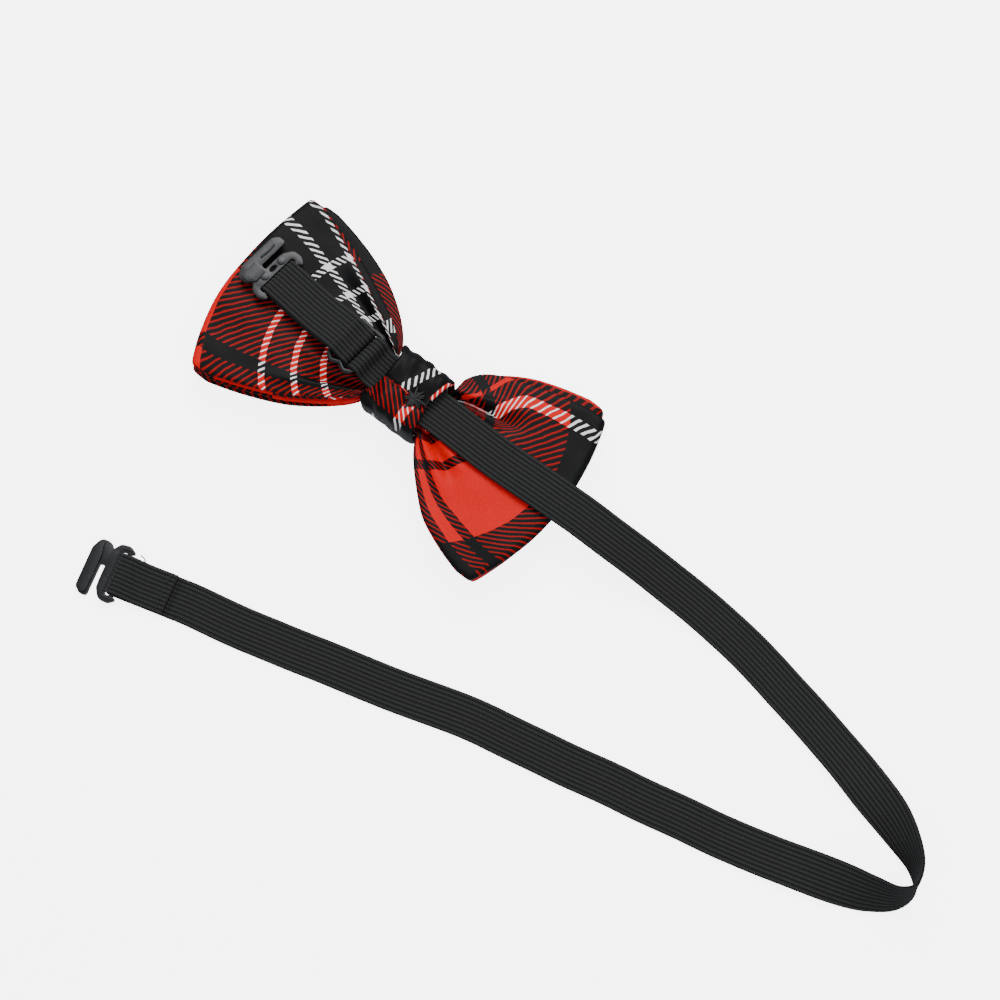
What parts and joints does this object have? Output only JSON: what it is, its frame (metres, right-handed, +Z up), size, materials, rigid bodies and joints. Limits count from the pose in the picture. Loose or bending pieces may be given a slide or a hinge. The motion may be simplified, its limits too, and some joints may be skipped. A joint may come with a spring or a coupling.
{
  "type": "bow tie",
  "caption": "Pre-tied tartan bow tie with stacked bows, a wrapped knot, a long elastic neck band with a hook, and a short sliding adjuster band with a catch.",
  "frame": {"origin": "on the floor under the middle of the bow, which lies face down", "axes": "+X along the bow towards the wing that the neck band lies over, +Y across the bow, +Z up out of its back"},
  "size_m": [0.2742, 0.138, 0.0198],
  "materials": {
    "tartan_satin": "printed twill-weave satin, red, black and white tartan",
    "interlining": "stiff off-white woven interlining",
    "ribbed_elastic": "black ribbed knitted elastic",
    "thread": "black polyester sewing thread",
    "black_plastic": "satin black moulded acetal"
  },
  "bodies": {
    "bow": {"front_bow_cover": "tartan_satin", "front_bow_interlining": "interlining", "back_bow_cover": "tartan_satin", "back_bow_interlining": "interlining", "waist_binding_thread": "thread", "knot_wrap": "tartan_satin", "knot_wrap_interlining": "interlining", "knot_closing_stitches": "thread", "band_anchor_stitches": "thread", "neck_band": "ribbed_elastic", "neck_band_hem": "ribbed_elastic", "neck_band_hem_stitches": "thread", "adjuster_band_anchor": "ribbed_elastic"},
    "neck_hook": {"neck_hook": "black_plastic"},
    "strap": {"adjuster_band_root_run": "ribbed_elastic"},
    "slider": {"slide_adjuster": "black_plastic", "adjuster_band_under_bar": "ribbed_elastic", "adjuster_band_sewn_end": "ribbed_elastic", "adjuster_band_end_stitches": "thread", "adjuster_band_upper_run": "ribbed_elastic", "adjuster_band_lower_run": "ribbed_elastic"},
    "loop_end": {"adjuster_band_end_bend": "ribbed_elastic"},
    "catch": {"adjuster_catch": "black_plastic"}
  },
  "joints": [
    {"name": "neck_hook_swivel", "type": "hinge", "parent": "bow", "child": "neck_hook", "pos_m": [-0.029, -0.0942, 0.00215], "axis": [-0.2756, 0.9613, 0], "range_deg": [0, 95]},
    {"name": "adjuster_lift", "type": "hinge", "parent": "bow", "child": "strap", "pos_m": [-0.0065, 0.0012, 0.01285], "axis": [0.0958, 0.9954, 0], "range_deg": [0, 60]},
    {"name": "slider_slide", "type": "slide", "parent": "strap", "child": "slider", "axis": [-0.9954, 0.0958, 0], "range_m": [0, 0.034], "deforming": ["adjuster_band_root_run"]},
    {"name": "loop_slide", "type": "slide", "parent": "slider", "child": "loop_end", "axis": [-0.9954, 0.0958, 0], "range_m": [-0.017, 0], "deforming": ["adjuster_band_upper_run", "adjuster_band_lower_run"]},
    {"name": "catch_swivel", "type": "hinge", "parent": "loop_end", "child": "catch", "pos_m": [-0.04731, 0.00513, 0.01395], "axis": [0.0958, 0.9954, 0], "range_deg": [0, 95]}
  ],
  "couplings": [
    {"joint": "loop_slide", "follows": "slider_slide", "ratio": -0.5}
  ]
}
